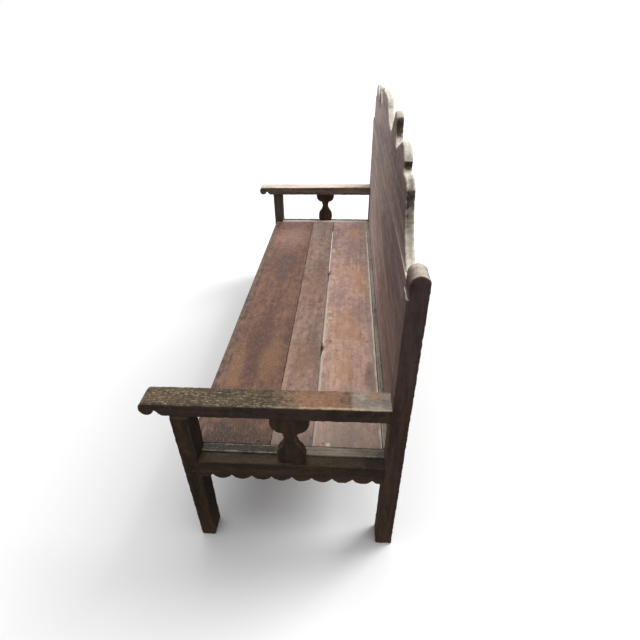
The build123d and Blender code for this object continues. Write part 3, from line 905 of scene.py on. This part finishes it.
arm_near = timber(
    "near arm timber", "Y", 11, (52, 41, 35), (82, 65, 53), stain=(46, 37, 33), mottle=0.5,
    faces=[(UPWARDS, SOFT, (98, 78, 62), (152, 124, 100), 1.0)],
    shades=[
        ("Y", 0.12, -0.04, ((44, 36, 25), (76, 64, 47)), 0.9),
        ("Y", 0.230, 0.244, ((155, 146, 138), (202, 191, 181)), 0.9),
    ],
    blotches=[
        ((1.045, 0.15, arm_top_z), (0.08, 0.10, 0.05), (176, 124, 98), 0.5),
        ((1.02, 0.30, arm_top_z), (0.025, 0.03, 0.05), (190, 146, 116), 0.7),
        # Worn outer top edge, with a painted highlight along it
        ((arm_box_high.x - 0.003, 0.22, arm_top_z), (0.006, 0.24, 0.02), (218, 196, 158), 0.75),
    ],
    marks_on_top_only=True, rubbed=(186, 162, 132), rub=-0.15, rub_on_top_only=True, contrast=0.7,
    flecks=0.75, fleck_scale=230.0, specks=1.0, fleck=(184, 164, 126), relief=1.5,
)
arm_far = timber(
    "far arm timber", "Y", 12, (90, 83, 75), (132, 122, 111), stain=(76, 70, 63),
    faces=[(UPWARDS, SOFT, (186, 169, 155), (224, 207, 193), 1.0)], rubbed=(210, 194, 176), rub=0.1,
    rub_on_top_only=True, contrast=0.75, flecks=0.4, specks=1.0,
)
grey_end = timber(
    "grey cleat timber", "Y", 13, (108, 101, 89), (172, 160, 142), stain=(84, 80, 72),
    # Painted shade of the arm over the cleat's front part
    shades=[("Y", 0.16, -0.02, ((34, 32, 30), (52, 49, 45)), 0.95)],
    blotches=[((cleat_x, 0.03, seat_z), (0.0035, 0.6, 0.03), HOLE, 0.9)], rubbed=(176, 165, 147), rub=0.1,
    contrast=0.7, flecks=0.4,
)
grey_far = timber("far cleat timber", "Y", 20, (160, 154, 148), (206, 200, 192), contrast=0.6)
grey_strip = timber(
    "grey strip timber", "X", 14, (112, 108, 98), (170, 162, 146), stain=(90, 87, 78),
    # Painted shade along the strip's back, at the foot of the boards
    blotches=[((0.0, strip_back_y, seat_z), (1.4, 0.003, 0.03), HOLE, 0.9)], rubbed=(190, 182, 166),
    rub=0.1, contrast=0.6,
)
bearer_timber = timber("bearer timber", "Y", 15, (84, 66, 54), (120, 98, 80), stain=(70, 56, 48))
peg_timber = timber("peg timber", "Z", 16, (54, 42, 35), (88, 68, 54), contrast=0.8)
nail_iron = iron("nail iron")


# Seat, and how finely each kind of piece is meshed
PLANK_CELL = (0.009, 0.005, 0.006)
BAR_CELL = (0.004, 0.008, 0.004)
STRIP_CELL = (0.008, 0.003, 0.004)
REAR_RAIL_CELL = (0.01, 0.005, 0.005)
BOARD_CELL = (0.009, 0.006, 0.006)
SPLAT_VOXEL = 0.0025
ARM_VOXEL = 0.003
POST_VOXEL = 0.0035
LONG_VOXEL = 0.004
STRIP_FORWARD = 0.0025


def straight_bar(node, cell, grain, slot, material, seed, forward=0.0, rise=0.0, half_length=None, **wear):
    low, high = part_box(node)
    low.y -= forward
    high.z += rise
    if half_length:
        low.x, high.x = -half_length, half_length
    piece = aged_block("aged_" + node, low, high, cell, grain, seed, **wear)
    finish_piece(piece, node, slot, material)
    return piece


straight_bar("front_seat_plank", PLANK_CELL, "X", "seat_wood", seat_front, 1, forward=JOINT_BURY)
straight_bar("middle_seat_plank", PLANK_CELL, "X", "seat_wood", seat_middle, 5)
straight_bar("back_seat_plank", PLANK_CELL, "X", "seat_wood", seat_back, 9)
straight_bar("seat_end_cleat_left", BAR_CELL, "Y", "grey_wood", grey_far, 13)
straight_bar("seat_end_cleat_right", BAR_CELL, "Y", "grey_wood", grey_end, 17)
straight_bar("end_bearer_left", BAR_CELL, "Y", "bearer_wood", bearer_timber, 21)
straight_bar("end_bearer_right", BAR_CELL, "Y", "bearer_wood", bearer_timber, 25)
straight_bar("cross_bearer_1", BAR_CELL, "Y", "bearer_wood", bearer_timber, 33)
straight_bar("cross_bearer_2", BAR_CELL, "Y", "bearer_wood", bearer_timber, 37)
straight_bar("back_strip", STRIP_CELL, "X", "grey_wood", grey_strip, 37, forward=STRIP_FORWARD, sway=0.001)


# Frame
def sawn_across(node, outline):
    """Board with its outline seen from the bench's end, as thick as its node."""
    low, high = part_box(node)
    corners = [Vector((low.x, y, z)) for y, z in outline]
    return drawn_board("aged_" + node, corners, Vector((high.x - low.x, 0, 0)))


def front_leg(node, material, seed):
    low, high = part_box(node)
    low.y -= LEG_PROUD
    outside = math.copysign(outer_x, low.x)
    top = arm_low_z + JOINT_BURY
    middle_y = (low.y + high.y) / 2

    def at_foot(corner):
        return corner.z < low.z + TOUCH

    def at_outer_top(corner):
        return corner.z > top - TOUCH and abs(corner.x - outside) < TOUCH

    def swell(place):
        return leg_swell(place.z) * max(0.0, (place.y - middle_y) / (high.y - middle_y))

    piece = block("aged_" + node, low, (high.x, high.y, top))
    round_edges(piece, at_foot, FOOT_ROUND, 3)
    round_edges(piece, at_outer_top, LEG_TOP_TAPER + JOINT_BURY, 1)
    age(piece, "Z", POST_VOXEL, seed)
    shift_points(piece, swell)
    finish_piece(piece, node, "frame_wood", material)


def rear_post(node, material, seed, proud=0.0):
    """The right post stands a little proud at its head, and twice as much below a small ledge."""
    low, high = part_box(node)
    spring = high.z - (high.y - low.y) / 2
    upper = low.y - proud
    front = upper - proud
    crown = ((upper + high.y) / 2, high.z)
    outline = [(front, low.z), (high.y, low.z), (high.y, spring)]
    outline += arc((high.y, spring), crown, (upper, spring), 14)
    if proud > 0:
        outline += [(upper, POST_LEDGE_Z), (front, POST_LEDGE_Z)]
    piece = sawn_across(node, outline)
    age(piece, "Z", POST_VOXEL, seed)
    shift_points(piece, lambda place: post_rake(place.z))
    shift_points(piece, lambda place: foot_swell(place) if place.y < crown[0] else 0.0)
    finish_piece(piece, node, "frame_wood", material)


def arm_outline():
    front = nose_y - NOSE_REACH
    bulb_back = (
        front + NOSE_BULB * (1 + math.cos(NOSE_WRAP)),
        arm_low_z + NOSE_BULB * (1 - math.sin(NOSE_WRAP)),
    )
    hollow_end = bulb_back[0] + NOSE_HOLLOW_LENGTH
    hollow_top = (bulb_back[0] + 0.002, arm_low_z + NOSE_HOLLOW_RISE)
    eighth = 1 - math.sqrt(0.5)
    roll_top = (front + NOSE_ROLL, arm_top_z)
    roll_end = (front, arm_low_z + NOSE_BULB)
    roll_middle = (front + NOSE_ROLL * eighth, arm_top_z - (arm_top_z - roll_end[1]) * eighth)
    end_y = post_front_y + post_rake(arm_low_z) + JOINT_BURY
    outline = [(end_y, arm_low_z), (end_y, arm_top_z), roll_top]
    outline += arc(roll_top, roll_middle, roll_end, 8)
    outline += arc(roll_end, (front + NOSE_BULB, arm_low_z), bulb_back, 14)
    return outline + [hollow_top, (hollow_end, arm_low_z)]


def arm(node, material, seed):
    piece = sawn_across(node, arm_outline())
    age(piece, "Y", ARM_VOXEL, seed, rounding=0.004, sway=0.002)
    shift_points(piece, arm_rise, axis=2)
    finish_piece(piece, node, "arm_wood", material)


def splat_half():
    """Outline of half a splat: half widths and heights from the rail up to the arm."""
    tall = arm_low_z - side_top_z
    lower = [(width, side_top_z + tall * share) for width, share in SPLAT_LOWER]
    lobe = [(width, side_top_z + tall * share) for width, share in SPLAT_LOBE]
    half = [(lower[0][0], side_top_z - JOINT_BURY), lower[0]]
    for i in range(0, len(lower) - 1, 2):
        half += arc(*lower[i : i + 3], 9)
    half += [lobe[0]] + arc(*lobe, 12)
    return half + [(lobe[-1][0], arm_low_z + JOINT_BURY)]


def splat(node, seed):
    half = splat_half()
    outline = [(splat_middle_y + width, z) for width, z in half]
    outline += [(splat_middle_y - width, z) for width, z in reversed(half)]
    piece = sawn_across(node, outline)
    age(piece, "Z", SPLAT_VOXEL, seed, rounding=0.002)
    finish_piece(piece, node, "frame_wood", splat_timber)


def scalloped_outline(start, end, top):
    count = int((end - start - 2 * SCALLOP_END) // SCALLOP_PITCH)
    first = (start + end - count * SCALLOP_PITCH) / 2
    last = first + count * SCALLOP_PITCH
    low = rail_low_z - SCALLOP_DROP
    cusp = rail_low_z + SCALLOP_DEPTH
    turn = SCALLOP_DEPTH * (1 - math.sqrt(0.5))
    buried_start = start - JOINT_BURY
    buried_end = end + JOINT_BURY
    outline = [(buried_start, top), (buried_start, rail_low_z), (first - SCALLOP_DEPTH, rail_low_z)]
    outline += arc(outline[-1], (first - turn, rail_low_z + turn), (first, cusp), 5)
    for i in range(count):
        near = first + i * SCALLOP_PITCH
        far = near + SCALLOP_PITCH
        outline += arc((near, cusp), ((near + far) / 2, low), (far, cusp), 10)
    toe = (last + SCALLOP_DEPTH, rail_low_z)
    outline += arc((last, cusp), (last + turn, rail_low_z + turn), toe, 5)
    return outline + [(buried_end, rail_low_z), (buried_end, top)]


def side_rail(node, seed):
    piece = sawn_across(node, scalloped_outline(leg_back_y, post_front_y, side_top_z))
    age(piece, "Y", ARM_VOXEL, seed)
    finish_piece(piece, node, "frame_wood", side_rail_timber)


def front_rail():
    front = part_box("front_rail")[0].y

    def at_front_top(corner):
        return corner.z > seat_z - TOUCH and corner.y < front + TOUCH

    corners = [Vector((x, front, z)) for x, z in scalloped_outline(-inner_x, inner_x, seat_z)]
    piece = drawn_board("aged_front_rail", corners, Vector((0, leg_back_y - front, 0)))
    round_edges(piece, at_front_top, FRONT_EDGE_ROUND)
    age(piece, "X", LONG_VOXEL, 61, rounding=0.001)
    shift_points(piece, rail_skew)
    finish_piece(piece, "front_rail", "frame_wood", long_rail_timber)


front_leg("front_leg_left", far_leg_timber, 41)
front_leg("front_leg_right", leg_timber, 44)
rear_post("rear_post_left", far_post_timber, 47)
rear_post("rear_post_right", post_timber, 50, proud=POST_PROUD)
for number, side in enumerate(("left", "right")):
    splat("splat_" + side, 53 + 3 * number)
    side_rail("side_rail_" + side, 65 + 3 * number)
arm("arm_left", arm_far, 71)
arm("arm_right", arm_near, 74)
front_rail()
rear_half = inner_x + JOINT_BURY
straight_bar("rear_rail", REAR_RAIL_CELL, "X", "frame_wood", long_rail_timber, 77, half_length=rear_half)


# Back
BOARD_STEP = 0.0006


def back_board(node, material, seed, proud=0.0):
    wear = dict(rounding=0.001, nick=0.0006)
    place = dict(forward=proud, rise=JOINT_BURY)
    piece = straight_bar(node, BOARD_CELL, "X", "back_wood", material, seed, **place, **wear)
    shift_points(piece, back_lean)


def crest_half(side):
    """Outline of half the crest from the middle outwards; side is 1 for the right half."""
    base = crest_base_z

    def put(point):
        return (side * (inner_x - point[0]), base + point[1])

    wear = LEFT_SCROLL_WEAR if side < 0 else 0.0
    scrolls = [list(scroll) for scroll in SCROLLS]
    scrolls[0][1:4] = [(x, z - wear) for x, z in scrolls[0][1:4]]
    scrolls[0][4] = (scrolls[0][4][0], scrolls[0][4][1] - wear / 2)
    notch = put(scrolls[0][0])
    shoulder = [(side * x - ARCH_SHIFT, base + z) for x, z in ARCH_SHOULDER]
    foot = shoulder[-1]
    via = ((foot[0] + notch[0]) / 2, (foot[1] + notch[1]) / 2 - CREST_HOLLOW)
    outline = [shoulder[0]]
    outline += arc(*shoulder, 8)
    outline += arc(foot, via, notch, 10)
    toe = (side * (inner_x - CREST_TOE_GAP), base + CREST_TOE)
    ends = [put(scroll[0]) for scroll in scrolls[1:]] + [toe]
    for scroll, end in zip(scrolls, ends):
        _, top, crown, tip, hollow = (put(point) for point in scroll)
        outline.append(top)
        outline += arc(top, crown, tip, 10)
        outline += arc(tip, hollow, end, 10)
    return outline


def crest_set(place):
    """The crest leans with the boards below it, and its right end stands a little further back."""
    share = (place.x - CREST_TWIST_FROM_X) / (inner_x - CREST_TWIST_FROM_X)
    return back_lean(place) - 2 * BOARD_STEP + CREST_TWIST * max(0.0, share)


def crest_board():
    low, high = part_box("crest_board")
    right = crest_half(1)
    left = crest_half(-1)
    arch = arc(left[0], (-ARCH_SHIFT, crest_base_z + CREST_RISE), right[0], 16)
    outline = list(reversed(left)) + arch[:-1] + right
    toe_z = crest_base_z + CREST_TOE
    foot_z = low.z - CREST_LAP
    outline += [(high.x, toe_z), (high.x, foot_z), (low.x, foot_z), (low.x, toe_z)]
    corners = [Vector((x, low.y, z)) for x, z in outline]
    piece = drawn_board("aged_crest_board", corners, Vector((0, high.y - low.y, 0)))
    age(piece, "X", LONG_VOXEL, 91, rounding=0.001)
    shift_points(piece, crest_set)
    finish_piece(piece, "crest_board", "back_wood", back_crest)


back_board("lower_back_board", back_lower, 81)
back_board("upper_back_board", back_upper, 85, proud=BOARD_STEP)
crest_board()
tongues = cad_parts["back_board_tongues"]
for place in tongues.material_slots:
    place.material = bearer_timber


# Pegs and nails, and where a solid's box has its lowest and highest corner
LOWEST = 0
HIGHEST = 6


def solids_in(node):
    """Lowest and highest corners of the separate solids of one node."""
    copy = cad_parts[node].copy()
    copy.data = copy.data.copy()
    bpy.context.scene.collection.objects.link(copy)
    make_active(copy)
    mode("EDIT")
    bpy.ops.mesh.select_all(action="SELECT")
    bpy.ops.mesh.remove_doubles(threshold=0.00001)
    bpy.ops.mesh.separate(type="LOOSE")
    mode("OBJECT")
    solids = [solid.bound_box for solid in bpy.context.selected_objects]
    boxes = [(Vector(corners[LOWEST]), Vector(corners[HIGHEST])) for corners in solids]
    bpy.ops.object.delete()
    return boxes


def whittled_end(name, radius, depth, sides):
    """Peg end or nail head: a few-sided stub along Z with its top at the origin and a softened rim."""
    deselect_all()
    middle = (0, 0, -depth / 2)
    bpy.ops.mesh.primitive_cylinder_add(vertices=sides, radius=radius, depth=depth, location=middle)
    piece = added(name)
    round_edges(piece, lambda corner: corner.z > -0.0001, radius * 0.28, 2)
    return piece


def copies_on(node, pattern, facing, proud, slot, material):
    """Copies of one pattern on every solid of a node, joined to one piece; with no facing, at its ends."""
    made = []
    for number, (low, high) in enumerate(solids_in(node)):
        middle = (low + high) / 2
        out = Vector(facing or (math.copysign(1, middle.x), 0, 0))
        reach = max(abs(out.dot(high - middle)), abs(out.dot(low - middle)))
        copy = pattern.copy()
        copy.data = pattern.data.copy()
        bpy.context.scene.collection.objects.link(copy)
        turn = Matrix.Rotation(2.4 * number, 4, "Z")
        lift = out * (reach + proud * (0.4 + 0.6 * ((number * 7) % 5) / 4))
        place = Matrix.Translation(middle + lift)
        copy.data.transform(place @ out.to_track_quat("Z", "Y").to_matrix().to_4x4() @ turn)
        made.append(copy)
    deselect_all()
    for copy in made:
        copy.select_set(True)
    bpy.context.view_layer.objects.active = made[0]
    bpy.ops.object.join()
    piece = bpy.context.object
    piece.name = "aged_" + node
    piece.data.name = piece.name
    finish_piece(piece, node, slot, material)


peg_end = whittled_end("peg pattern", 0.005, 0.012, 9)
nail_head = whittled_end("nail pattern", 0.0045, 0.004, 8)
PEG_PROUD = 0.0012
NAIL_PROUD = 0.0004
copies_on("side_rail_pegs", peg_end, None, PEG_PROUD, "peg_wood", peg_timber)
copies_on("arm_pegs", peg_end, None, PEG_PROUD, "peg_wood", peg_timber)
copies_on("front_rail_pegs", peg_end, FORWARDS, PEG_PROUD, "peg_wood", peg_timber)
copies_on("rear_rail_pegs", peg_end, BACKWARDS, PEG_PROUD, "peg_wood", peg_timber)
for plank in ("front", "middle", "back"):
    copies_on(plank + "_plank_nails", nail_head, UPWARDS, NAIL_PROUD, "nail_iron", nail_iron)
for pattern in (peg_end, nail_head):
    bpy.data.objects.remove(pattern)


# Stage
FLOOR_SHADE = (0.17, 0.17, 0.17, 1)
FLOOR_SEEN = (0.79, 0.79, 0.79, 1)


def floor_material():
    material = bpy.data.materials.new("pale floor")
    material.use_nodes = True
    tree = material.node_tree
    tree.nodes.clear()
    net = NodeNet(tree)
    camera_ray = net.node("LightPath").outputs["Is Camera Ray"]
    surface = net.node("BsdfDiffuse")
    net.feed(surface.inputs["Color"], net.mix(camera_ray, FLOOR_SHADE, FLOOR_SEEN))
    through = net.node("BsdfTransparent")
    behind = net.node("NewGeometry").outputs["Backfacing"]
    both = net.in_order(net.node("MixShader"), behind, surface.outputs[0], through.outputs[0])
    net.feed(net.node("OutputMaterial").inputs["Surface"], both[0])
    return material


deselect_all()
bpy.ops.mesh.primitive_plane_add(size=80, location=(0, 0, -0.0008))
floor = bpy.context.object
floor.name = "floor"
floor.data.materials.append(floor_material())
floor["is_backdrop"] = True

SKY_LOW = 0.16
SKY_HIGH = 0.75
SUN = 1.5
SUN_FROM = Vector((-0.25, 0.1, 1.0))
SUN_ANGLE = math.radians(70)
BACK_SUN = 2.4
BACK_SUN_FROM = Vector((-0.45, 0.8, 0.75))
BACK_SUN_ANGLE = math.radians(30)
world = bpy.data.worlds.new("studio")
bpy.context.scene.world = world
world.use_nodes = True
net = NodeNet(world.node_tree)
direction = net.in_order(net.node("SeparateXYZ"), net.node("TexCoord").outputs["Generated"])
height = net.math("MAXIMUM", direction["Z"], 0.0)
sky = net.math("MULTIPLY_ADD", height, SKY_HIGH - SKY_LOW, SKY_LOW)
rays = net.node("LightPath").outputs
seen = net.math("MAXIMUM", rays["Is Camera Ray"], rays["Is Glossy Ray"])
seen = net.math("MAXIMUM", seen, rays["Is Transmission Ray"])
background = world.node_tree.nodes["Background"]
net.by_name(background, color=(1, 1, 1, 1), strength=net.math("MAXIMUM", seen, sky))


def sun(energy, angle, source):
    bpy.ops.object.light_add(type="SUN", location=source * 3)
    lamp = bpy.context.object
    lamp.data.energy = energy
    lamp.data.angle = angle
    lamp.rotation_euler = source.to_track_quat("Z", "Y").to_euler()


sun(SUN, SUN_ANGLE, SUN_FROM)
sun(BACK_SUN, BACK_SUN_ANGLE, BACK_SUN_FROM)

# Camera, worked out for the photograph's square frame
CAMERA_PLACE = Vector((1.9746, 0.2126, 1.5908))
CAMERA_YAW = -0.07113
CAMERA_PITCH = 0.59214
CAMERA_ROLL = -0.01746
CAMERA_LENS = 24.474
heading = Matrix.Rotation(math.pi / 2 - CAMERA_YAW, 4, "Z")
tilt = Matrix.Rotation(math.pi / 2 - CAMERA_PITCH, 4, "X")
roll = Matrix.Rotation(CAMERA_ROLL, 4, "Z")
bpy.ops.object.camera_add(location=CAMERA_PLACE)
camera = bpy.context.object
camera.matrix_world = Matrix.Translation(CAMERA_PLACE) @ heading @ tilt @ roll
camera.data.sensor_width = 36.0
camera.data.lens = CAMERA_LENS
camera.data.clip_end = 200
bpy.context.scene.camera = camera
bpy.context.scene.view_settings.view_transform = "Standard"

shown_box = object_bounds()
